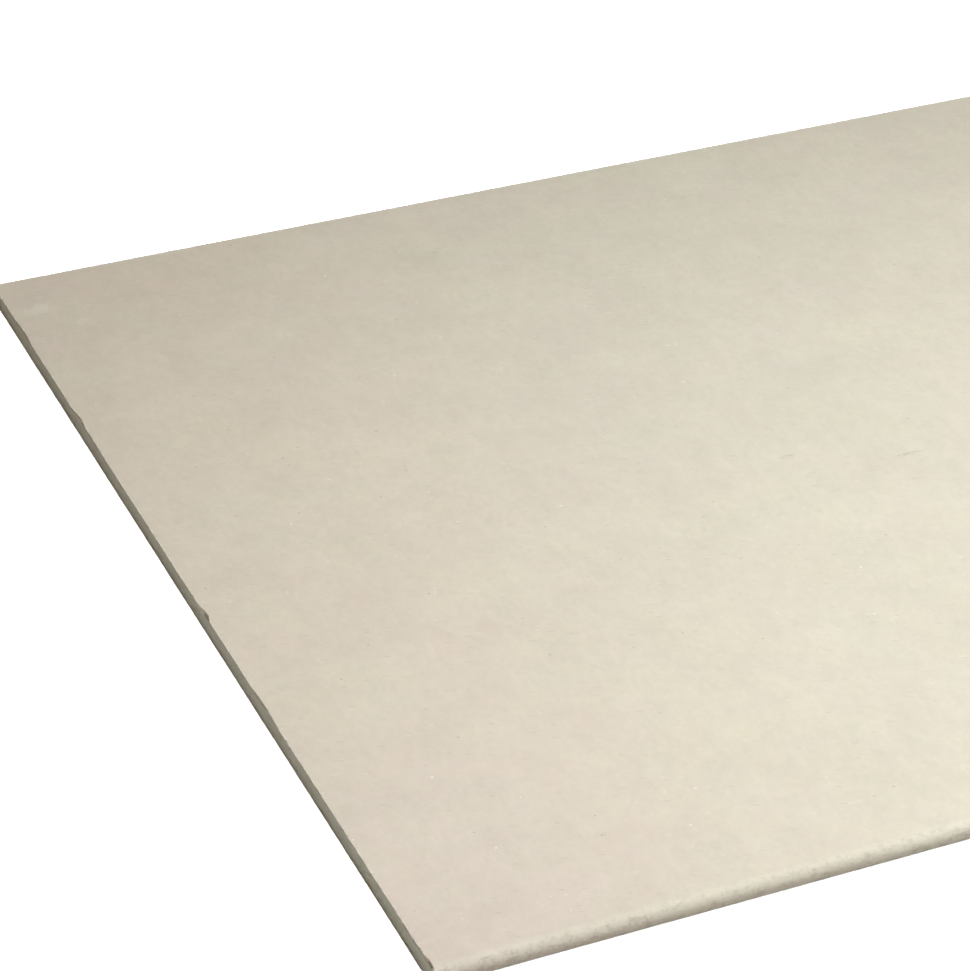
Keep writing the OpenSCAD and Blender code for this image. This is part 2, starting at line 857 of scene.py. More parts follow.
@dataclass(frozen=True)
class FacePaperFinish(Finish):
    """Ivory lining paper: soft mottle at every size, fibres, flecks, worn wraps and smudges, with
    a painted highlight on the wraps' upper bends, painted shade towards their bottom and a painted
    highlight along the cut ends.
    """

    name: str = "face_paper_ivory"
    colour: Colour = (0.606, 0.549, 0.446)
    roughness: float = 0.86
    specular: float = 0.3
    sheen: float = 0.05
    half_width: float = 0.3
    half_length: float = 1.0
    pale: Colour = (0.80, 0.765, 0.68)
    dark: Colour = (0.33, 0.29, 0.23)
    # Grey clouds, from a hand's width down to single fibres, each with its strength.
    mottle: tuple[tuple[Cloud, float], ...] = (
        (Cloud(55 * MM, 1, 0.6, (3.1, 0, 0)), 0.08),
        (Cloud(17 * MM, 3, 0.95, (0, 7.3, 0), (1.2, 0.85, 1)), 0.22),
        (Cloud(1.1 * MM, 1, 0.8, (8.8, 0, 0), (1.1, 0.8, 1)), 0.05),
    )
    hues: Cloud = Cloud(70 * MM, 6.5, 0.88, (0, 0, 4.7))
    tint: Colour = (0.08, 0.15, 0.08)
    # How the tone drifts towards the low end, and at its near corner, and over what distances.
    drift: Colour = (1.032, 1.0, 1.0)
    drift_reach: Range = (0.32, 0.06)
    blush: Colour = (1.0, 0.982, 1.015)
    blush_at: Triple = (-1.0, -0.27, 0.0)
    blush_reach: Range = (0.17, 0.02)
    # Layers of single fibres, each with the way that they lie.
    fibres: tuple[tuple[float, Flecks], ...] = (
        (0.0, Flecks(3 * MM, 0.55 * MM, 0.2, pale, 0.2)),
        (-0.6, Flecks(3.5 * MM, 0.55 * MM, 0.16, pale, 0.17)),
        (0.35, Flecks(4.5 * MM, 0.55 * MM, 0.12, pale, 0.25)),
        (0.4, Flecks(2.5 * MM, 0.55 * MM, 0.3, dark, 0.2)),
        (0.2, Flecks(4.5 * MM, 0.55 * MM, 0.25, dark, 0.2)),
        (1.1, Flecks(4.5 * MM, 0.55 * MM, 0.12, pale, 0.16)),
    )
    fibre_shape: Triple = (0.28, 1.3, 1)
    fibre_shift: Triple = (0.37, 0.11, 0)
    # Specks, each with its shift.
    specks: tuple[tuple[Triple, Flecks], ...] = (
        ((0.4, 0, 0), Flecks(9 * MM, 0.65 * MM, 0.12, pale, 0.6)),
        ((0, 0.9, 0), Flecks(7 * MM, 0.65 * MM, 0.16, dark, 0.4)),
    )
    speck_shape: Triple = (0.7, 1, 1)
    # Dark smudges: where each is, and its length and width in millimetres.
    smudge: Colour = (0.22, 0.21, 0.19)
    smudge_strength: float = 0.45
    smudge_cloud: Cloud = Cloud(1.6 * MM, 3, 0.6)
    smudges: tuple[tuple[float, float, float, float], ...] = (
        (-0.702, -0.016, 5, 2.2), (-0.648, -0.036, 9, 2), (-0.905, -0.247, 4, 1.5),
        (0.34, 0.12, 8, 2.4), (0.71, -0.18, 5, 2),
    )
    mark_fade: Range = (1.1, 0.1)
    mark_breaks: Range = (0.4, 0.62)
    # Pale scuffs, told in the same way.
    scuff_strength: float = 0.36
    scuff_cloud: Cloud = Cloud(6 * MM, 3, 0.6)
    scuffs: tuple[tuple[float, float, float, float], ...] = (
        (-0.985, 0.262, 13, 9), (-0.972, 0.243, 9, 5), (-0.960, 0.292, 5, 1.6),
        (-0.982, 0.275, 3.4, 2.6), (-0.801, -0.267, 6.5, 2.2), (-0.703, 0.179, 3.5, 1.8),
        (-0.705, 0.103, 5.5, 2.4), (-0.856, 0.028, 4, 1.6), (0.12, -0.14, 9, 3),
        (0.52, 0.21, 6, 2.5),
    )
    # Wrapped long edges: where the wear sets in, then a painted highlight on the upper bend, and
    # dirt patches with painted shade that darkens towards the bottom.
    wear_reach: Range = (6.5 * MM, 1.5 * MM)
    # Painted highlight: a paler tone laid over the upper bend of each wrap, where it faces the
    # light.
    painted_highlight: Colour = (0.80, 0.765, 0.63)
    painted_highlight_reach: Range = (3.5 * MM, 7 * MM)
    painted_highlight_strength: float = 0.3
    # Dirt patches and painted shade share this dark tone. The painted shade thickens towards the
    # bottom of each wrap, near the floor.
    grime_and_painted_shade: Colour = (0.27, 0.258, 0.18)
    painted_shade_reach: Range = (5 * MM, 0.5 * MM)
    painted_shade_strength: float = 0.5
    patches: Cloud = Cloud(3.2 * MM, 4, 0.8, (0, 0, 2), (0.8, 1, 1))
    patch_breaks: Range = (0.48, 0.7)
    patch_strength: float = 0.36
    # The fray at the two cut ends, painted paler: partly roughed-up fibres, partly a painted
    # highlight along the cut edge.
    fray_reach: Range = (1.3 * MM, 0.4 * MM)
    fray_cloud: Cloud = Cloud(2.2 * MM, 2, 0.6)
    fray_breaks: Range = (0.42, 0.62)
    fray_and_highlight_strength: float = 0.35
    # The felt: a soft unevenness, fine fibres, and coarse ones on the worn wraps.
    soft: Bump = Bump(Cloud(9 * MM, 3, 0.5, (1, 0, 0)), 0.5, 0.08 * MM)
    felt: Bump = Bump(Cloud(1.4 * MM, 4, 0.7, (0, 0, 5), (0.8, 0.8, 1)), 0.6, 0.08 * MM)
    rough: Bump = Bump(Cloud(2.6 * MM, 4, 0.75, (0, 3, 0), (0.8, 1, 1)), 1.0, 0.55 * MM)

    def surface(self, board: FinishBoard) -> Socket:
        """Builds the paper's shader.

        Args:
            board: The material's nodes.

        Returns:
            The shader's output.
        """
        out = board.maths("ABSOLUTE", board.coordinate("Y"))
        worn = board.ramp(out, *(self.half_width - reach for reach in self.wear_reach))
        colour = self.mottled(board)
        colour = self.with_fibres(board, colour)
        colour = self.with_marks(board, colour)
        colour = self.with_edge_grime_and_painted_light(board, colour, worn)
        colour = self.with_fray_and_painted_highlight(board, colour)
        return self.shader(board, colour, self.felted(board, worn))

    def mottled(self, board: FinishBoard) -> Socket:
        """The base colour with its soft blots and slow drifts.

        Args:
            board: The material's nodes.

        Returns:
            The colour.
        """
        colour = self.colour
        for cloud, strength in self.mottle:
            grey = board.joined(*[board.cloud(cloud).value] * 3)
            colour = board.tinted(colour, grey, (strength,) * 3)
        colour = board.tinted(colour, board.cloud(self.hues).hues, self.tint)
        away = board.vector("DISTANCE", board.place, self.blush_at, output="Value")
        colour = board.covered(colour, self.blush, board.ramp(away, *self.blush_reach),
                               blend="MULTIPLY")
        low = board.ramp(board.coordinate("X"),
                         *(reach - self.half_length for reach in self.drift_reach))
        return board.covered(colour, self.drift, low, blend="MULTIPLY")

    def with_fibres(self, board: FinishBoard, colour: Socket) -> Socket:
        """Adds the single fibres that show, roughly along the sheet, and the specks.

        Args:
            board: The material's nodes.
            colour: The colour so far.

        Returns:
            The new colour.
        """
        for k, (turn, fibres) in enumerate(self.fibres):
            turned = board.moved(tuple(k * s for s in self.fibre_shift), turn=turn)
            drawn = board.moved((0, 0, 0), self.fibre_shape, place=turned)
            colour = board.flecked(colour, fibres, drawn)
        for shift, specks in self.specks:
            colour = board.flecked(colour, specks, board.moved(shift, self.speck_shape))
        return colour

    def with_marks(self, board: FinishBoard, colour: Socket) -> Socket:
        """Adds the few dark smudges, worn in by rubbing, and pale scuffs.

        Args:
            board: The material's nodes.
            colour: The colour so far.

        Returns:
            The new colour.
        """
        kinds = ((self.smudges, self.smudge, self.smudge_strength, self.smudge_cloud),
                 (self.scuffs, self.pale, self.scuff_strength, self.scuff_cloud))
        for marks, tone, strength, cloud in kinds:
            broken = board.ramp(board.cloud(cloud).value, *self.mark_breaks)
            for x, y, long_mm, wide_mm in marks:
                long, wide = long_mm * MM, wide_mm * MM
                offset = board.moved((-x / long, -y / wide, 0), (1 / long, 1 / wide, 0))
                away = board.vector("LENGTH", offset, output="Value")
                soft = board.ramp(away, *self.mark_fade)
                colour = board.covered(colour, tone, soft, broken, strength)
        return colour

    def with_edge_grime_and_painted_light(self, board: FinishBoard, colour: Socket, worn: Socket) -> Socket:
        """Adds dirt patches on the wrapped long edges, a painted highlight on their upper bend and
        painted shade towards their bottom.

        Args:
            board: The material's nodes.
            colour: The colour so far.
            worn: How worn the place is, from 0 to 1.

        Returns:
            The new colour.
        """
        height = board.coordinate("Z")
        # Painted highlight: the upper bend of each wrap is made paler.
        painted_highlight_mask = board.ramp(height, *self.painted_highlight_reach, self.painted_highlight_strength)
        colour = board.covered(colour, self.painted_highlight, worn, painted_highlight_mask)
        # Painted shade: each wrap darkens towards its bottom, where it meets the floor. The
        # patches are dirt.
        painted_shade_mask = board.ramp(height, *self.painted_shade_reach, self.painted_shade_strength)
        patches = board.cloud(self.patches).value
        patchy = board.ramp(patches, *self.patch_breaks, self.patch_strength)
        return board.covered(colour, self.grime_and_painted_shade, worn, board.maths("ADD", patchy, painted_shade_mask))

    def with_fray_and_painted_highlight(self, board: FinishBoard, colour: Socket) -> Socket:
        """Lightens the last of the paper at the two cut ends: partly roughed-up fibres, partly a
        painted highlight along the cut edge.

        Args:
            board: The material's nodes.
            colour: The colour so far.

        Returns:
            The new colour.
        """
        # Painted highlight along the cut edge, on top of the frayed fibres.
        out = board.maths("ABSOLUTE", board.coordinate("X"))
        near = board.ramp(out, *(self.half_length - reach for reach in self.fray_reach))
        broken = board.ramp(board.cloud(self.fray_cloud).value, *self.fray_breaks)
        return board.covered(colour, self.pale, near, broken, self.fray_and_highlight_strength)

    def felted(self, board: FinishBoard, worn: Socket) -> Socket:
        """The paper's bumps.

        Args:
            board: The material's nodes.
            worn: How worn the place is, from 0 to 1.

        Returns:
            The bumpy normal.
        """
        normal = board.bumps(self.soft, self.felt)
        height = board.maths("MULTIPLY", board.cloud(self.rough.cloud).value, worn)
        return board.bump(height, self.rough.strength, self.rough.depth, normal)


@dataclass(frozen=True)
class PaperEdgeFinish(Finish):
    """The cut edge of a paper: fuzzy plies seen end on, painted paler as a painted highlight where
    the edge catches the light.
    """

    name: str = "paper_edge_fuzz"
    # Paler than the face paper: a painted highlight along the cut edge.
    colour: Colour = (0.66, 0.61, 0.52)
    roughness: float = 0.95
    specular: float = 0.2
    sheen: float = 0.15
    plies: Cloud = Cloud(1.5 * MM, 4, 0.7, stretch=(1, 1, 9))
    tint: Colour = (0.5, 0.5, 0.52)
    bump_strength: float = 0.8
    bump_depth: float = 0.1 * MM

    def surface(self, board: FinishBoard) -> Socket:
        """Builds the edge's shader.

        Args:
            board: The material's nodes.

        Returns:
            The shader's output.
        """
        plies = board.cloud(self.plies)
        colour = board.tinted(self.colour, plies.hues, self.tint)
        normal = board.bump(plies.value, self.bump_strength, self.bump_depth)
        return self.shader(board, colour, normal)


@dataclass(frozen=True)
class GypsumFinish(Finish):
    """Cast gypsum where it is cut: fine grain, air bubbles darkened with painted shade, and faint
    upright cutting marks.
    """

    name: str = "gypsum_cut"
    colour: Colour = (0.64, 0.632, 0.515)
    roughness: float = 0.93
    specular: float = 0.25
    bands: Cloud = Cloud(12 * MM, 5, 0.62, (0, 2, 0), (1, 1, 0.25))
    band_tint: Colour = (0.13, 0.11, 0.14)
    coarse: Cloud = Cloud(2.2 * MM, 3, 0.8, (0, 0, 1))
    coarse_tint: Colour = (0.42, 0.42, 0.42)
    # The bubbles' dark tone is painted shade: it stands in for the shade inside each hollow.
    shaded_pores: Flecks = Flecks(1.7 * MM, 0.42 * MM, 0.5, (0.33, 0.31, 0.25), 0.6)
    pore_depth: float = 0.2 * MM
    marks: Bump = Bump(Cloud(1.3 * MM, 3, 0.6, stretch=(1, 1, 0.08)), 0.5, 0.12 * MM)
    grain: Bump = Bump(Cloud(0.9 * MM, 4, 0.65), 0.7, 0.12 * MM)

    def surface(self, board: FinishBoard) -> Socket:
        """Builds the core's shader.

        Args:
            board: The material's nodes.

        Returns:
            The shader's output.
        """
        colour = board.tinted(self.colour, board.cloud(self.bands).hues, self.band_tint)
        colour = board.tinted(colour, board.cloud(self.coarse).hues, self.coarse_tint)
        shaded_pores = board.flecks(self.shaded_pores, board.moved((0, 0, 4)))
        # Painted shade: each bubble is darkened where its hollow would be shaded.
        colour = board.covered(colour, self.shaded_pores.tone, shaded_pores, self.shaded_pores.strength)
        normal = board.bump(shaded_pores, 1.0, self.pore_depth, board.bumps(self.marks, self.grain),
                            invert=True)
        return self.shader(board, colour, normal)


@dataclass(frozen=True)
class BackPaperFinish(Finish):
    """Grey-brown liner of recycled stock, with fibres of other colours in it."""

    name: str = "back_paper_liner"
    colour: Colour = (0.30, 0.28, 0.235)
    roughness: float = 0.9
    specular: float = 0.3
    sheen: float = 0.08
    blots: Cloud = Cloud(45 * MM, 8, 0.72, (5, 0, 0), (0.7, 1, 1))
    tint: Colour = (0.42, 0.42, 0.46)
    hairs: tuple[Flecks, ...] = (
        Flecks(4 * MM, 0.5 * MM, 0.3, (0.62, 0.58, 0.50), 0.55),
        Flecks(4 * MM, 0.5 * MM, 0.24, (0.16, 0.14, 0.12), 0.55),
        Flecks(4 * MM, 0.5 * MM, 0.12, (0.42, 0.27, 0.17), 0.55),
    )
    hair_shape: Triple = (0.3, 1, 1)
    felt: Bump = Bump(Cloud(1.6 * MM, 5, 0.7, (0, 0, 1), (0.35, 1, 1)), 0.8, 0.08 * MM)

    def surface(self, board: FinishBoard) -> Socket:
        """Builds the liner's shader.

        Args:
            board: The material's nodes.

        Returns:
            The shader's output.
        """
        colour = board.tinted(self.colour, board.cloud(self.blots).hues, self.tint)
        for shift, hairs in enumerate(self.hairs, 1):
            colour = board.flecked(colour, hairs, board.moved((shift, 0, 0), self.hair_shape))
        return self.shader(board, colour, board.bumps(self.felt))


@dataclass(frozen=True)
class CrumbFinish(Finish):
    """Loose gypsum dust and crumbs."""

    name: str = "gypsum_dust"
    colour: Colour = (0.86, 0.84, 0.78)
    roughness: float = 0.95
    specular: float = 0.2
    grain: Cloud = Cloud(0.6 * MM, 3, 0.6)
    tint: Colour = (0.12, 0.12, 0.14)

    def surface(self, board: FinishBoard) -> Socket:
        """Builds the dust's shader."""
        colour = board.tinted(self.colour, board.cloud(self.grain).hues, self.tint)
        return self.shader(board, colour)


# ---------------------------------------------------------------- the three pieces


@dataclass(frozen=True)
class Station:
    """A point of the face paper's section, which runs the sheet's whole length.

    Attributes:
        y: Place across the sheet.
        z: Height.
        out: Which way the paper faces there, as y and z.
        level: The coarsest line that still has it.
    """

    y: float
    z: float
    out: Range
    level: int


@dataclass
class FacePaper:
    """The ivory paper: the face, the two wrapped long edges and the flaps under the back."""

    sizes: SheetSizes
    relief: FaceRelief
    ends: dict[Side, CutEnd]
    columns: int = 768
    coarsest: int = 3
    bend_steps: int = 16
    spacing: Spacing = Spacing(0.4 * MM, 1.24, 20 * MM, (6.5 * MM, 12 * MM, 25 * MM))
    seam_gap: float = 0.02 * MM

    def stations(self) -> list[Station]:
        """The section's points, from the near flap's end over the face to the far flap's end.

        Returns:
            The points, in order.
        """
        s, keep = self.sizes, self.coarsest
        lap_z = s.back_paper + self.seam_gap
        flap = [(s.fold_end_y, lap_z), (s.lap_y, lap_z), (s.foot_y, 0.0),
                ((s.foot_y + s.bend_y) / 2, 0.0)]
        low_flap = [Station(-y, z, (0, -1), keep) for y, z in flap]
        low_bend = [self.bend_station(-1, k) for k in range(self.bend_steps + 1)]
        columns = columns_across(s.bend_y, self.columns, keep)[1:-1]
        across = [Station(y, s.thickness, (0, 1), level) for y, level in columns]
        high_bend = [self.bend_station(1, k) for k in reversed(range(self.bend_steps + 1))]
        high_flap = [Station(y, z, (0, -1), keep) for y, z in reversed(flap)]
        return low_flap + low_bend + across + high_bend + high_flap

    def bend_station(self, side: int, step: int) -> Station:
        """A point of a half-round edge, counted from the back to the face.

        Args:
            side: -1 for the low edge and 1 for the high one.
            step: The point's number.

        Returns:
            The point.
        """
        turn = math.pi * (step / self.bend_steps - 0.5)
        out = (side * math.cos(turn), math.sin(turn))
        r = self.sizes.edge_radius
        return Station(side * self.sizes.bend_y + r * out[0], r + r * out[1], out, self.coarsest)

    def place(self, station: Station, line: Line, depth: float) -> Vector:
        """A point of the paper.

        Args:
            station: Where it lies in the section.
            line: Where it lies along the sheet.
            depth: How far below the outer surface it lies.

        Returns:
            The point.
        """
        end = self.ends[line.side]
        x = end.x(end.paper_inset(station.y), line.distance)
        side = Side.LOW if station.y < 0 else Side.HIGH
        inward = depth + self.relief.edge_dent(x, side) * abs(station.out[0])
        if station.out[1] > 0:
            height = station.z / self.sizes.thickness
            inward += self.relief.depth(x, station.y) * height * station.out[1]
        return Vector((x, station.y - inward * station.out[0],
                       station.z - inward * station.out[1]))

    def ring(self, made: RowMesh, stations: Sequence[Station], line: Line) -> Ring:
        """Adds the paper's outer and inner rows at a line.

        Args:
            made: The mesh.
            stations: The section's points.
            line: The line.

        Returns:
            The two rows.
        """
        kept = [(k, s) for k, s in enumerate(stations) if s.level >= line.level]
        outer, inner = (made.row([self.place(s, line, depth) for _, s in kept])
                        for depth in (0.0, self.sizes.face_paper))
        return Ring(outer, inner, [float(k) for k, _ in kept])

    def build(self) -> Piece:
        """Builds the paper as one closed sheet of even thickness.

        Returns:
            The piece.
        """
        made = RowMesh("face_paper_sheet")
        stations = self.stations()
        rings = [self.ring(made, stations, line) for line in self.spacing.lines(self.sizes.length)]
        made.bridge(rings[0].lower, rings[0].upper, wear=1)
        made.sleeve(rings, rim=1)
        made.bridge(rings[-1].upper, rings[-1].lower, wear=1)
        finish = FacePaperFinish(half_width=self.sizes.width / 2,
                                 half_length=self.sizes.length / 2)
        return made.make([finish.material(), PaperEdgeFinish().material()])

    def cut_edge(self, side: Side) -> list[Vector]:
        """The line where the face meets a cut end, from one long edge to the other."""
        line = Line(0.0, side, 0)
        return [self.place(s, line, 0.02 * MM) for s in self.stations() if s.out[1] > 0.5]


@dataclass
class Slab:
    """A flat piece between the two cut ends, with a top, a bottom and rough ends.

    Attributes:
        name: Its name.
        sizes: The sheet's sizes.
        ends: The sheet's cut ends.
        columns: Its columns of points.
        top: Height of the top, at x and y.
        bottom: Height of the bottom.
        inset: How far inside an end's plane it ends, at y and z.
        spacing: Its lines of points.
        end_levels: Number of rows of faces down each end.
        end_growth: How much those rows widen towards the bottom.
    """

    name: str
    sizes: SheetSizes
    ends: dict[Side, CutEnd]
    columns: list[Column]
    top: Callable[[float, float], float]
    bottom: Callable[[float, float], float]
    inset: Callable[[CutEnd, float, float], float]
    spacing: Spacing
    end_levels: int = 1
    end_growth: float = 1.25

    def ring(self, made: RowMesh, line: Line) -> Ring:
        """Adds the top and bottom rows at a line.

        Args:
            made: The mesh.
            line: The line.

        Returns:
            The two rows.
        """
        end = self.ends[line.side]
        kept = [y for y, level in self.columns if level >= line.level]
        rows = []
        for height in (self.top, self.bottom):
            places = []
            for y in kept:
                z = height(end.x(0.0, line.distance), y)
                places.append(Vector((end.x(self.inset(end, y, z), line.distance), y, z)))
            rows.append(made.row(places))
        return Ring(rows[0], rows[1], kept)

    def cap(self, made: RowMesh, ring: Ring, side: Side) -> None:
        """Closes an end with a rough cut face, from its top row to its bottom row.

        Args:
            made: The mesh.
            ring: The end's rows.
            side: Which end it is.
        """
        end = self.ends[side]
        rows = [ring.upper]
        for k in range(1, self.end_levels):
            share = (k / self.end_levels) ** self.end_growth
            places = []
            for high, low in zip(ring.upper, ring.lower):
                y = made.points[high].y
                z = made.points[high].z * (1 - share) + made.points[low].z * share
                places.append(Vector((end.x(self.inset(end, y, z)), y, z)))
            rows.append(made.row(places))
        rows.append(ring.lower)
        for above, below in pairwise(rows):
            made.bridge(above, below, flip=side is Side.LOW)

    def build(self, finish: Finish) -> Piece:
        """Builds the slab as one closed mesh.

        Args:
            finish: What it is made of.

        Returns:
            The piece.
        """
        made = RowMesh(self.name)
        rings = [self.ring(made, line) for line in self.spacing.lines(self.sizes.length)]
        self.cap(made, rings[0], Side.LOW)
        made.sleeve(rings)
        self.cap(made, rings[-1], Side.HIGH)
        return made.make([finish.material()])


@dataclass
class GypsumCore:
    """The cast core, which fills the papers and shows at the two cut ends."""

    sizes: SheetSizes
    relief: FaceRelief
    ends: dict[Side, CutEnd]
    columns: int = 640
    coarsest: int = 4
    bend_steps: int = 10
    bend_angle: float = 87.0
    glue_line: float = 0.01 * MM
    fold_step: float = 0.03 * MM
    spacing: Spacing = Spacing(0.6 * MM, 1.35, 40 * MM, (7 * MM, 12 * MM, 25 * MM, 50 * MM))

    @property
    def radius(self) -> float:
        """Radius of the core's long edges."""
        return self.sizes.edge_radius - self.sizes.face_paper - self.glue_line

    def rise(self, y: float) -> float:
        """Half the core's height at y, as its round long edges allow."""
        over = max(0.0, abs(y) - self.sizes.bend_y)
        return math.sqrt(max(0.0, self.radius ** 2 - over ** 2))

    def top(self, x: float, y: float) -> float:
        """Height of the core's top."""
        return self.sizes.edge_radius + self.rise(y) - self.relief.depth(x, y)

    def bottom(self, x: float, y: float) -> float:
        """Height of the core's bottom, which makes room for the flaps.

        Args:
            x: Place along the sheet.
            y: Place across it.

        Returns:
            The height.
        """
        s = self.sizes
        away = abs(y)
        if away <= s.fold_end_y:
            return s.back_paper + self.glue_line
        if away <= s.foot_y:
            dip = max(0.0, (away - s.lap_y) / s.dip_length)
            return s.face_paper + s.back_paper * (1 - dip) + 3 * self.glue_line
        return s.edge_radius - self.rise(y)

    def across(self) -> list[Column]:
        """The columns: even ones over the flat, more on the bends and at the flaps' corners.

        Returns:
            The columns, in order of y.
        """
        s = self.sizes
        turns = [math.radians(self.bend_angle) * k / self.bend_steps
                 for k in range(1, self.bend_steps + 1)]
        more = [s.bend_y + self.radius * math.sin(turn) for turn in turns]
        more += [s.fold_end_y, s.fold_end_y + self.fold_step, s.lap_y, s.foot_y]
        extra = [(side.value * y, self.coarsest) for side in Side for y in more]
        return sorted(columns_across(s.bend_y, self.columns, self.coarsest) + extra)

    def build(self) -> Piece:
        """Builds the core.

        Returns:
            The piece.
        """
        slab = Slab("gypsum_core_block", self.sizes, self.ends, self.across(), self.top,
                    self.bottom, CutEnd.core_inset, self.spacing, end_levels=12)
        return slab.build(GypsumFinish())


@dataclass
class BackPaper:
    """The grey-brown liner, glued to the core and over the two flaps."""

    sizes: SheetSizes
    ends: dict[Side, CutEnd]
    columns: int = 192
    coarsest: int = 3
    spacing: Spacing = Spacing(0.6 * MM, 1.35, 40 * MM, (6 * MM, 14 * MM, 30 * MM))
    fray: Wave = Wave(0.06 * MM, 3 * MM)

    def inset(self, end: CutEnd, y: float, z: float) -> float:
        """How far inside the end's plane the liner ends, a little ragged."""
        return end.wander(y) + self.fray.strength + self.fray.at(y, 7, end.seed)

    def build(self) -> Piece:
        """Builds the liner.

        Returns:
            The piece.
        """
        top = self.sizes.back_paper
        columns = columns_across(self.sizes.lap_y, self.columns, self.coarsest)
        slab = Slab("back_paper_sheet", self.sizes, self.ends, columns, lambda x, y: top,
                    lambda x, y: 0.0, self.inset, self.spacing)
        return slab.build(BackPaperFinish())


@dataclass(frozen=True)
class TornStrip:
    """A narrow strip of torn inner ply in a chip of the low cut end, told in millimetres.

    Attributes:
        start: Its first end: distance inside the end's plane, distance from the low long edge,
            and height.
        finish: Its other end, told in the same way.
        width: Its width.
        shade: Number of its material.
    """

    start: Triple
    finish: Triple
    width: float
    shade: int


@dataclass
class TornPaper:
    """The bits of brown inner ply left hanging where the face paper tore."""

    sizes: SheetSizes
    thickness: float = 0.12 * MM
    least_depth: float = 0.02 * MM
    steps: int = 12
    taper: float = 0.6
    tip: float = 0.08
    fray: Wave = Wave(0.3, 0.2)
    curl: Wave = Wave(0.25 * MM, 0.35)
    down: Triple = (-0.55, 0, -0.83)
    out: Triple = (-0.83, 0, 0.55)
    strips: tuple[TornStrip, ...] = (
        TornStrip((1.3, 266.6, 9.25), (0.55, 260.6, 9.2), 0.8, 0),
        TornStrip((1.0, 267.6, 9.0), (0.7, 263.0, 8.7), 0.7, 0),
        TornStrip((0.95, 9.6, 9.2), (0.75, 3.6, 8.9), 0.8, 0),
        TornStrip((0.25, 12.4, 9.3), (0.95, 7.4, 9.3), 0.6, 1),
        TornStrip((0.7, 5.6, 8.9), (0.3, 1.9, 8.0), 0.7, 0),
        TornStrip((0.3, 33.0, 9.2), (0.25, 28.6, 9.0), 0.45, 0),
        TornStrip((0.3, 22.5, 9.2), (0.25, 19.0, 8.9), 0.5, 0),
    )

    def section(self, strip: TornStrip, share: float, seed: float) -> list[Vector]:
        """The four corners of a strip's section.

        Args:
            strip: The strip.
            share: How far along it the section lies, from 0 to 1.
            seed: Picks how its edges wander.

        Returns:
            The corners, round the section.
        """
        one, two = (Vector([v * MM for v in place]) for place in (strip.start, strip.finish))
        middle = one.lerp(two, share)
        plane = -self.sizes.length / 2
        taper = math.sin(math.pi * (self.tip + (1 - 2 * self.tip) * share)) ** self.taper
        wide = strip.width * MM * taper * (0.8 + self.fray.at(share, seed, seed))
        curl = self.curl.at(share, seed, seed + 4)
        down, out = Vector(self.down) * wide, Vector(self.out) * self.thickness
        top = Vector((plane + middle.x, -self.sizes.width / 2 + middle.y, middle.z))
        top += Vector((curl, 0, 0.1 * curl))
        return [Vector((max(plane + self.least_depth, p.x), p.y, p.z))
                for p in (top, top + down, top + down + out, top + out)]

    def build(self) -> Piece:
        """Builds the strips as one piece.

        Returns:
            The piece.
        """
        made = RowMesh("torn_paper_bits")
        for number, strip in enumerate(self.strips):
            seed, wear = 1.7 + 3.1 * number, strip.shade
            rows = [made.row(self.section(strip, k / self.steps, seed))
                    for k in range(self.steps + 1)]
            made.face(rows[0], flip=True, wear=wear)
            for one, two in pairwise(rows):
                made.bridge(one + one[:1], two + two[:1], wear=wear)
            made.face(rows[-1], wear=wear)
        return made.make([
            PaperEdgeFinish("torn_ply_brown", (0.34, 0.27, 0.19)).material(),
            PaperEdgeFinish("torn_ply_tan", (0.66, 0.53, 0.37)).material()])


# ---------------------------------------------------------------- small stuff that repeats


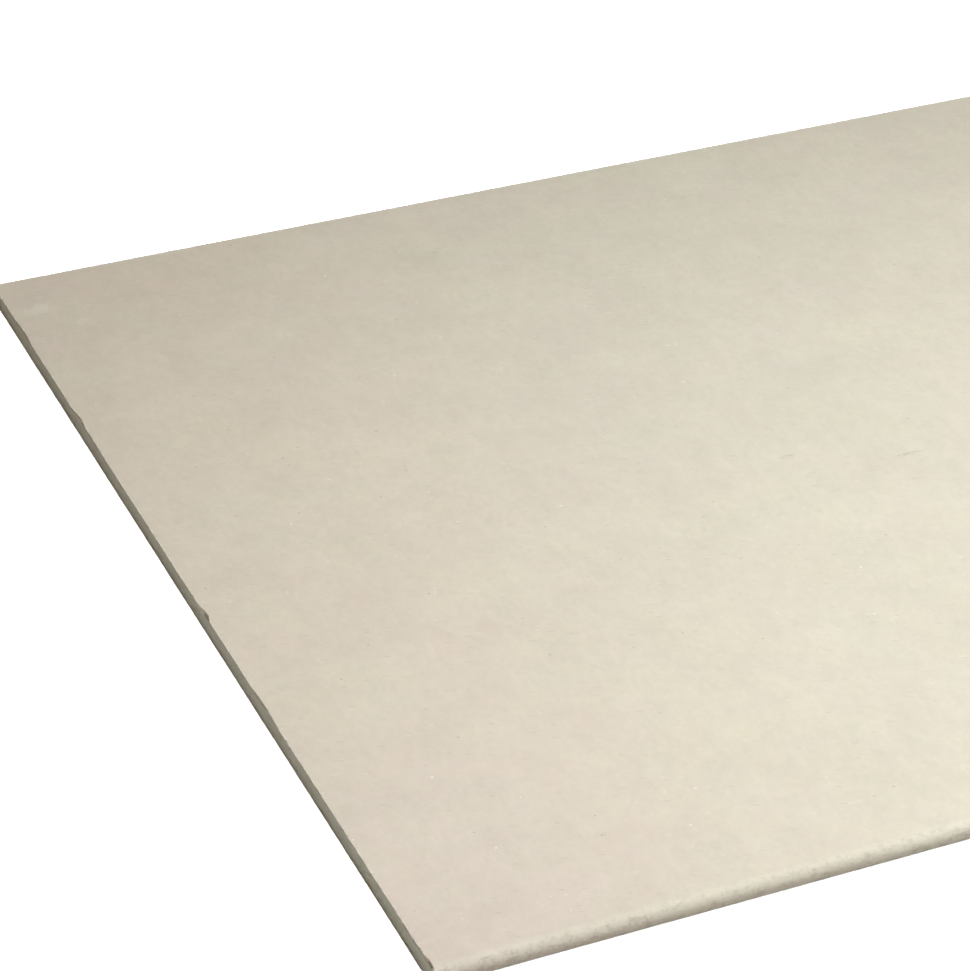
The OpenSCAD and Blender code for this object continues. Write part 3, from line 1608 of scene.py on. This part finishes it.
class Scatter:
    """A Geometry Nodes tree on a carrier mesh, turned into a plain mesh at the end."""

    def __init__(self, name: str, material: Material, seed: int,
                 sizes: dict[str, float]) -> None:
        """Starts a tree with its named inputs.

        Args:
            name: Name of the tree and of the piece that it makes.
            material: The piece's material.
            seed: Fixes what is random.
            sizes: The tree's sizes, by name.
        """
        self.name = name
        self.tree = bpy.data.node_groups.new(name, "GeometryNodeTree")
        self.board = NodeBoard(self.tree)
        self.values: dict[str, Any] = {}
        for way in ("INPUT", "OUTPUT"):
            self.tree.interface.new_socket("Geometry", in_out=way,
                                           socket_type="NodeSocketGeometry")
        for label, value in sizes.items():
            self.size(label, value, "NodeSocketFloat")
        self.size("Seed", seed, "NodeSocketInt")
        self.size("Material", material, "NodeSocketMaterial")
        self.given = self.board.add("NodeGroupInput").outputs

    def size(self, name: str, value: Any, kind: str) -> None:
        """Adds a named input and the value that it gets."""
        socket = self.tree.interface.new_socket(name, in_out="INPUT", socket_type=kind)
        self.values[socket.identifier] = value

    def chance(self, low: float, high: float) -> Socket:
        """A random number for each point."""
        return self.board.out("FunctionNodeRandomValue", 1, {
            2: low, 3: high, "Seed": self.given["Seed"]}, data_type="FLOAT")

    def spin(self, low: Triple, high: Triple) -> Socket:
        """A random turn for each point."""
        return self.board.out("FunctionNodeRandomValue", 0, {
            "Min": low, "Max": high, "Seed": self.given["Seed"]}, data_type="FLOAT_VECTOR")

    def real(self, geometry: Socket) -> Socket:
        """Geometry with its instances realized."""
        return self.board.out("GeometryNodeRealizeInstances", "Geometry", {"Geometry": geometry})

    def strewn(self, points: Socket, shape: Socket, turn: Socket, scale: Socket) -> Socket:
        """Sets copies of a shape on points.

        Args:
            points: The points.
            shape: The shape.
            turn: How each copy is turned.
            scale: How large it is.

        Returns:
            The copies, as real geometry.
        """
        return self.real(self.board.out("GeometryNodeInstanceOnPoints", "Instances", {
            "Points": points, "Instance": shape, "Rotation": turn, "Scale": scale}))

    def finish(self, geometry: Socket) -> None:
        """Presses the geometry back into the sheet's box, dresses it and ends the tree.

        Args:
            geometry: What the tree has made.
        """
        board = self.board
        place = board.out("GeometryNodeInputPosition", "Position")
        held = board.vector("MINIMUM", board.vector("MAXIMUM", place, CAD_BOX[0]), CAD_BOX[1])
        inside = board.out("GeometryNodeSetPosition", "Geometry", {
            "Geometry": geometry, "Position": held})
        dressed = board.out("GeometryNodeSetMaterial", "Geometry", {
            "Geometry": self.real(inside), "Material": self.given["Material"]})
        board.add("NodeGroupOutput", {"Geometry": dressed})

    def run(self, carrier: bpy.types.Mesh, material: Material) -> Piece:
        """Runs the tree on a carrier mesh.

        Args:
            carrier: The mesh that the tree starts from. It isn't kept.
            material: The piece's material.

        Returns:
            The piece, as a plain mesh.
        """
        holder = linked(self.name + "_carrier", carrier)
        modifier = holder.modifiers.new(self.name, "NODES")
        modifier.node_group = self.tree
        for identifier, value in self.values.items():
            modifier[identifier] = value
        bpy.context.view_layer.update()
        graph = bpy.context.evaluated_depsgraph_get()
        mesh = bpy.data.meshes.new_from_object(holder.evaluated_get(graph))
        mesh.name = self.name
        bpy.data.objects.remove(holder)
        bpy.data.meshes.remove(carrier)
        mesh.materials.clear()
        mesh.materials.append(material)
        return linked(self.name, mesh)


@dataclass
class TornFibres:
    """The paper fibres that stand out along a cut edge of the face.

    Attributes:
        spacing: Distance between them.
        length: Length of the longest.
        radius: Their radius.
        shortest: Length of the shortest, as a share of the longest.
        roll: How far they roll, in radians.
        tip: How far they point up or down, in radians.
        fan: How far they spread to each side of straight out, in degrees.
        seed: Fixes what is random.
    """

    spacing: float = 0.5 * MM
    length: float = 1.0 * MM
    radius: float = 0.06 * MM
    shortest: float = 0.15
    roll: Range = (-0.7, 0.7)
    tip: Range = (-0.55, 0.35)
    fan: float = 75.0
    seed: int = 11

    def build(self, edge: Sequence[Vector], side: Side) -> Piece:
        """Sets fibres along an edge.

        Args:
            edge: The edge's points, from one long edge to the other.
            side: The cut end that it belongs to.

        Returns:
            The fibres, as one piece.
        """
        label = side.name.lower()
        # Paler still: a painted highlight on the fibres where they catch the light.
        material = PaperEdgeFinish(f"torn_fibre_{label}_x", (0.70, 0.65, 0.56)).material()
        grown = Scatter(f"torn_fibres_{label}_x", material, self.seed + side.value, {
            "Spacing": self.spacing, "Length": self.length, "Radius": self.radius})
        board, given = grown.board, grown.given
        curve = board.out("GeometryNodeMeshToCurve", "Curve", {"Mesh": given["Geometry"]})
        points = board.out("GeometryNodeCurveToPoints", "Points", {
            "Curve": curve, "Length": given["Spacing"]}, mode="LENGTH")
        arc = board.out("GeometryNodeCurveQuadraticBezier", "Curve", {
            "Resolution": 3, "Start": (0, 0, 0), "Middle": (0.5, 0, 0.25),
            "End": (0.9, 0.1, -0.15)})
        thin = board.maths("DIVIDE", given["Radius"], given["Length"])
        ring = board.out("GeometryNodeCurvePrimitiveCircle", "Curve", {
            "Resolution": 4, "Radius": thin})
        hair = board.out("GeometryNodeCurveToMesh", "Mesh", {
            "Curve": arc, "Profile Curve": ring, "Fill Caps": True})
        out = 90 + 90 * side.value
        turn = grown.spin((self.roll[0], self.tip[0], math.radians(out - self.fan)),
                          (self.roll[1], self.tip[1], math.radians(out + self.fan)))
        long = board.maths("MULTIPLY", grown.chance(self.shortest, 1.0), given["Length"])
        grown.finish(grown.strewn(points, hair, turn, long))
        carrier = bpy.data.meshes.new("cut_edge_line")
        carrier.from_pydata([tuple(p) for p in edge], list(pairwise(range(len(edge)))), [])
        return grown.run(carrier, material)


@dataclass
class GypsumDust:
    """The crumbs of gypsum that lie on the face, most of them near the cut ends.

    Attributes:
        sizes: The sheet's sizes.
        relief: The face's relief.
        density: Crumbs to a square metre where the dust is thickest.
        radius: Radius of the largest.
        flatness: Their height, as a share of their length.
        slimness: Their breadth, told in the same way.
        rarity: How much rarer large ones are than small ones.
        smallest: Size of the smallest, as a share of the largest.
        tilt: How far they tilt, in radians.
        lump_size: Size of the lumps that make them uneven.
        lumps: How far the lumps push them out of shape, on each axis.
        spread: How far from a cut end the dust thins out.
        thinnest: The density in the middle, as a share of the thickest.
        end_gap: How much of the face stays clean at each end.
        ground_steps: Number of strips of ground along the sheet and across it.
        seed: Fixes what is random.
    """

    sizes: SheetSizes
    relief: FaceRelief
    density: float = 900.0
    radius: float = 0.62 * MM
    flatness: float = 0.2
    slimness: float = 0.7
    rarity: float = 3.2
    smallest: float = 0.2
    tilt: float = 0.1
    lump_size: float = 0.7 * MM
    lumps: Triple = (0.5 * MM, 0.5 * MM, 0.06 * MM)
    spread: float = 70 * MM
    thinnest: float = 0.06
    end_gap: float = 3 * MM
    ground_steps: tuple[int, int] = (160, 48)
    seed: int = 5

    def ground(self) -> bpy.types.Mesh:
        """A copy of the face as coarse strips, with how much dust each place holds.

        Returns:
            The mesh, with the dust as an attribute of its points.
        """
        made = RowMesh("face_ground")
        s = self.sizes
        along, across = self.ground_steps
        weights: list[float] = []
        rows = []
        for i in range(along + 1):
            x = (i / along - 0.5) * (s.length - 2 * self.end_gap)
            ys = [(j / across - 0.5) * 2 * s.bend_y for j in range(across + 1)]
            rows.append(made.row([Vector((x, y, s.thickness - self.relief.depth(x, y)))
                                  for y in ys]))
            near = math.exp(-(s.length / 2 - abs(x)) / self.spread)
            weights += [self.thinnest + near] * len(ys)
        for one, two in pairwise(rows):
            made.bridge(one, two)
        mesh = made.mesh()
        mesh.attributes.new("dust", "FLOAT", "POINT").data.foreach_set("value", weights)
        return mesh

    def build(self) -> Piece:
        """Scatters the crumbs.

        Returns:
            The piece.
        """
        material = CrumbFinish().material()
        strewn = Scatter("gypsum_crumbs", material, self.seed, {
            "Density": self.density, "Radius": self.radius, "Flatness": self.flatness})
        board, given = strewn.board, strewn.given
        share = board.out("GeometryNodeInputNamedAttribute", "Attribute", {"Name": "dust"},
                          data_type="FLOAT")
        points = board.out("GeometryNodeDistributePointsOnFaces", "Points", {
            "Mesh": given["Geometry"], "Density": board.maths("MULTIPLY", share, given["Density"]),
            "Seed": given["Seed"]})
        ball = board.out("GeometryNodeMeshIcoSphere", "Mesh", {"Radius": 1.0, "Subdivisions": 2})
        turn = strewn.spin((0, 0, 0), (self.tilt, self.tilt, math.tau))
        rare = board.maths("POWER", strewn.chance(0.0, 1.0), self.rarity)
        spread = board.maths("MULTIPLY_ADD", rare, 1 - self.smallest, self.smallest)
        wide = board.maths("MULTIPLY", spread, given["Radius"])
        tall = board.maths("MULTIPLY", wide, given["Flatness"])
        slim = board.maths("MULTIPLY", wide, self.slimness)
        crumbs = strewn.strewn(points, ball, turn, board.joined(wide, slim, tall))
        lumps = board.out("ShaderNodeTexNoise", "Color", {
            "Scale": 1 / self.lump_size, "Detail": 2.0})
        shake = board.vector("MULTIPLY", board.vector("SUBTRACT", lumps, (0.5, 0.5, 0.5)),
                             self.lumps)
        strewn.finish(board.out("GeometryNodeSetPosition", "Geometry", {
            "Geometry": crumbs, "Offset": shake}))
        return strewn.run(self.ground(), material)


# ---------------------------------------------------------------- the studio


def towards(azimuth: float, elevation: float) -> Vector:
    """The way to a place at an azimuth and an elevation, in degrees."""
    a, e = math.radians(azimuth), math.radians(elevation)
    return Vector((math.sin(a) * math.cos(e), -math.cos(a) * math.cos(e), math.sin(e)))


@dataclass
class Studio:
    """A plain pale floor, soft overhead light and the camera."""

    sizes: SheetSizes
    azimuth: float = -23.168
    elevation: float = 31.724
    lens: float = 127.54
    distance: float = 1.6057
    aim_from_end: float = 0.156
    aim_y: float = 0.0162
    floor_size: float = 60.0
    floor_gap: float = 0.05 * MM
    floor_tone: float = 0.70
    key_from_end: float = 0.49
    key_y: float = -0.31
    key_height: float = 1.12
    key_width: float = 0.7
    key_power: float = 20.5
    key_colour: Colour = (0.876, 0.95, 0.985)
    far_y: float = -0.1
    far_height: float = 2.8
    far_half_angle: float = 27.4
    far_power: float = 375.0
    fill_elevation: float = 12.0
    fill_distance: float = 3.2
    fill_width: float = 1.4
    fill_power: float = 7.0
    fill_colour: Colour = (1.0, 0.97, 0.85)
    air_colour: Colour = (0.11, 0.06, 0.03)
    wash_strength: float = 5.0

    def build(self) -> None:
        """Builds the floor, the lights and the camera."""
        floor = self.floor()
        self.key()
        self.far_light()
        self.fill()
        self.wash(floor)
        self.air()
        self.camera()

    def floor(self) -> Piece:
        """A wide pale floor just under the sheet.

        Returns:
            The floor.
        """
        half, low = self.floor_size / 2, -self.floor_gap
        made = RowMesh("studio_floor")
        near, far = (made.row([Vector((x, -half, low)), Vector((x, half, low))])
                     for x in (-half, half))
        made.bridge(near, far)
        finish = Finish("studio_floor_white", (self.floor_tone,) * 3, 1.0, 0.0)
        floor = made.make([finish.material()])
        return floor

    def soft_box(self, name: str, width: float, power: float, colour: Colour,
                 place: Vector) -> None:
        """Adds a round soft box that faces the near corner of the sheet.

        Args:
            name: Its name.
            width: Its width.
            power: Its power in watts.
            colour: Its colour.
            place: Where it hangs.
        """
        lamp = bpy.data.lights.new(name, "AREA")
        lamp.shape = "DISK"
        lamp.size = width
        lamp.energy = power
        lamp.color = colour
        box = linked(name, lamp)
        box.location = place
        away = place - self.under_key()
        box.rotation_euler = away.to_track_quat("Z", "Y").to_euler()
        box.visible_camera = False

    def under_key(self) -> Vector:
        """The place on the floor that lies under the main light."""
        return Vector((self.key_from_end - self.sizes.length / 2, self.key_y, 0))

    def key(self) -> None:
        """The main light, straight above the near long edge."""
        place = self.under_key()
        place.z = self.key_height
        self.soft_box("key_box", self.key_width, self.key_power, self.key_colour, place)

    def far_light(self) -> None:
        """A soft spot that lights the far half of the sheet as brightly as the near half."""
        lamp = bpy.data.lights.new("far_spot", "SPOT")
        lamp.energy = self.far_power
        lamp.color = self.key_colour
        lamp.spot_size = 2 * math.radians(self.far_half_angle)
        lamp.spot_blend = 1.0
        lamp.shadow_soft_size = self.key_width / 2
        spot = linked("far_spot", lamp)
        spot.location = (self.sizes.length / 2, self.far_y, self.far_height)
        spot.visible_camera = False

    def fill(self) -> None:
        """A weak low light from the camera's side, which opens up the sheet's edges."""
        corner = Vector((-self.sizes.length / 2, -self.sizes.width / 2, 0))
        place = corner + towards(self.azimuth, self.fill_elevation) * self.fill_distance
        self.soft_box("fill_box", self.fill_width, self.fill_power, self.fill_colour, place)

    def wash(self, floor: Piece) -> None:
        """An even wash that falls on the floor alone, without a shadow or a bounce.

        Lights keep to their limits on bounces only where the light tree is off.

        Args:
            floor: The floor.
        """
        lamp = bpy.data.lights.new("floor_wash", "SUN")
        lamp.energy = self.wash_strength
        lamp.use_shadow = False
        lamp.cycles.max_bounces = 0
        lit = bpy.data.collections.new("washed_floor")
        lit.objects.link(floor)
        linked("floor_wash", lamp).light_linking.receiver_collection = lit
        bpy.context.scene.cycles.use_light_tree = False

    def air(self) -> None:
        """A faint warm light from all round, behind which the camera sees plain white."""
        world = bpy.data.worlds.new("studio_air")
        world.use_nodes = True
        board = NodeBoard(world.node_tree)
        seen = board.out("ShaderNodeLightPath", "Is Camera Ray")
        glow, white = (board.out("ShaderNodeBackground", "Background", {
            "Color": (*colour, 1), "Strength": 1.0}) for colour in (self.air_colour, (1, 1, 1)))
        either = board.out("ShaderNodeMixShader", "Shader", {0: seen, 1: glow, 2: white})
        board.add("ShaderNodeOutputWorld", {"Surface": either})
        bpy.context.scene.world = world
        bpy.context.scene.view_settings.view_transform = "Standard"

    def camera(self) -> None:
        """Looks down on the low end of the sheet with a long lens."""
        back = towards(self.azimuth, self.elevation)
        aim = Vector((self.aim_from_end - self.sizes.length / 2, self.aim_y, self.sizes.thickness))
        data = bpy.data.cameras.new("camera")
        data.lens = self.lens
        camera = linked("camera", data)
        camera.location = aim + back * self.distance
        camera.rotation_euler = (-back).to_track_quat("-Z", "Y").to_euler()
        bpy.context.scene.camera = camera


# ---------------------------------------------------------------- the sheet


@dataclass
class DrywallSheet:
    """The whole sheet, built piece by piece."""

    sizes: SheetSizes
    relief: FaceRelief = field(default_factory=FaceRelief)
    # The chips of each cut end, each told as a Chip is, in millimetres, after the end's side.
    chips: tuple[tuple[Side, Side, float, float, float, float], ...] = (
        (Side.LOW, Side.LOW, 6, 14, 0.85, 0.1),
        (Side.LOW, Side.LOW, 15, 11, 0.22, 0.0),
        (Side.LOW, Side.LOW, 188, 38, 0.55, 0.2),
        (Side.LOW, Side.LOW, 267, 17, 1.15, -0.3),
        (Side.LOW, Side.LOW, 428, 44, 0.3, 0.1),
        (Side.LOW, Side.HIGH, 151, 24, 0.9, 0.05),
        (Side.LOW, Side.HIGH, 57, 36, 0.68, -0.2),
        (Side.HIGH, Side.LOW, 120, 6, 0.5, 0.3),
        (Side.HIGH, Side.HIGH, 190, 8, 0.6, -0.4),
    )
    low_seed: float = 2.3
    high_seed: float = 8.9

    def ends(self) -> dict[Side, CutEnd]:
        """The two cut ends: the low one is chipped, the high one nearly whole.

        Returns:
            The ends, by side.
        """
        ends = {}
        for end, seed in ((Side.LOW, self.low_seed), (Side.HIGH, self.high_seed)):
            chips = tuple(Chip(edge, distance * MM, length * MM, reach * MM, lean)
                          for at, edge, distance, length, reach, lean in self.chips if at is end)
            ends[end] = CutEnd(end, self.sizes, chips, seed)
        return ends

    def add(self, piece: Piece, slot: Slot, *stands_for: str) -> None:
        """Puts a piece into the frame and reports it.

        Args:
            piece: The piece.
            slot: The record's slot for the piece. It is not used.
            stands_for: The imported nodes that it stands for.
        """
        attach(piece, BODY)
        if stands_for:
            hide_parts(*stands_for)
        triangles = sum(len(p.vertices) - 2 for p in piece.data.polygons)
        LOG.info("%s: %d triangles", piece.name, triangles)

    def build(self) -> None:
        """Builds every piece."""
        ends = self.ends()
        paper = FacePaper(self.sizes, self.relief, ends)
        self.add(paper.build(), Slot.FACE_PAPER, "face_paper")
        self.add(GypsumCore(self.sizes, self.relief, ends).build(), Slot.GYPSUM, "gypsum_core")
        self.add(BackPaper(self.sizes, ends).build(), Slot.BACK_PAPER, "back_paper")
        for side in Side:
            self.add(TornFibres().build(paper.cut_edge(side), side), Slot.FACE_PAPER)
        self.add(TornPaper(self.sizes).build(), Slot.FACE_PAPER)
        self.add(GypsumDust(self.sizes, self.relief).build(), Slot.GYPSUM)


def main() -> None:
    """Builds the sheet and its studio."""
    logging.basicConfig(level=logging.INFO, format="%(name)s: %(message)s")
    sizes = SheetSizes.from_frame()
    DrywallSheet(sizes).build()
    Studio(sizes).build()


if __name__ == "__main__":
    main()
